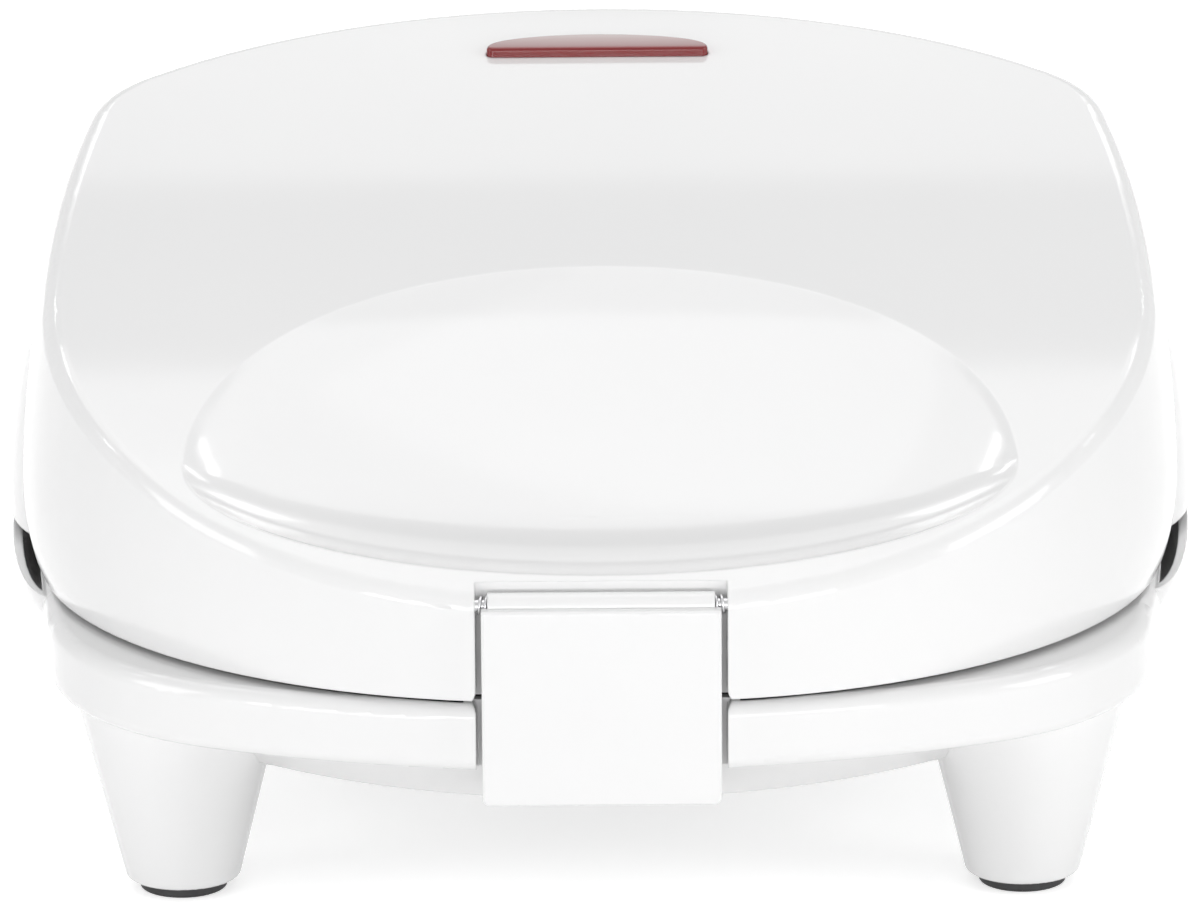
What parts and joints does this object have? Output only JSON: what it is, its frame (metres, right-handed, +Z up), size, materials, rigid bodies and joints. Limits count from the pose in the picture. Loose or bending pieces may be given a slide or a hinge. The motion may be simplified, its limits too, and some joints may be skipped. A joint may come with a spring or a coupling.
{
  "type": "waffle cup maker",
  "caption": "Two-cup waffle press: sloping hood with an oval scoop and red lens, hinged at the back, sprung front latch, base on tapered legs.",
  "frame": {"origin": "on the table under the middle of the bounding box", "axes": "+Z up, the latch faces -Y, +X to the right seen from the front"},
  "size_m": [0.246, 0.2476, 0.1373],
  "materials": {
    "white_plastic": "glossy",
    "dark_plastic": "matte",
    "pad_rubber": "matte",
    "coated_aluminium": "satin dark non-stick",
    "steel": "satin",
    "screw_steel": "satin",
    "shield_steel": "satin",
    "phenolic": "matte",
    "ceramic": "matte",
    "red_lens": "glossy, translucent",
    "lamp_glass": "clear"
  },
  "bodies": {
    "base": {"base_housing": "white_plastic", "bottom_cover": "white_plastic", "foot_pads": "pad_rubber", "base_screws": "screw_steel", "lower_cup_plate": "coated_aluminium", "lower_plate_screws": "screw_steel", "lower_heater": "steel", "lower_heater_clamps": "steel", "lower_heat_shield": "shield_steel", "shield_screws": "screw_steel", "thermostat": "phenolic", "thermal_fuse": "steel", "terminal_block": "ceramic", "cord_gland": "dark_plastic", "hinge_pin": "steel"},
    "lid": {"lid_housing": "white_plastic", "lid_deck": "white_plastic", "deck_screws": "screw_steel", "upper_cup_plate": "coated_aluminium", "upper_plate_screws": "screw_steel", "upper_heater": "steel", "upper_heater_clamps": "steel", "lid_heat_shield": "shield_steel", "indicator_lens": "red_lens", "lamp_holder": "ceramic", "lamp_screws": "screw_steel", "power_lamp": "lamp_glass", "ready_lamp": "lamp_glass", "latch_pin": "steel"},
    "latch": {"latch_plate": "white_plastic", "latch_spring": "steel"}
  },
  "joints": [
    {"name": "lid_hinge", "type": "hinge", "parent": "base", "child": "lid", "pos_m": [0, 0.11375, 0.06], "axis": [-1, 0, 0], "range_deg": [0, 100]},
    {"name": "latch_pivot", "type": "hinge", "parent": "lid", "child": "latch", "pos_m": [0, -0.11885, 0.0728], "axis": [-1, 0, 0], "range_deg": [0, 35], "stiffness_Nm_per_rad": 0.05}
  ]
}
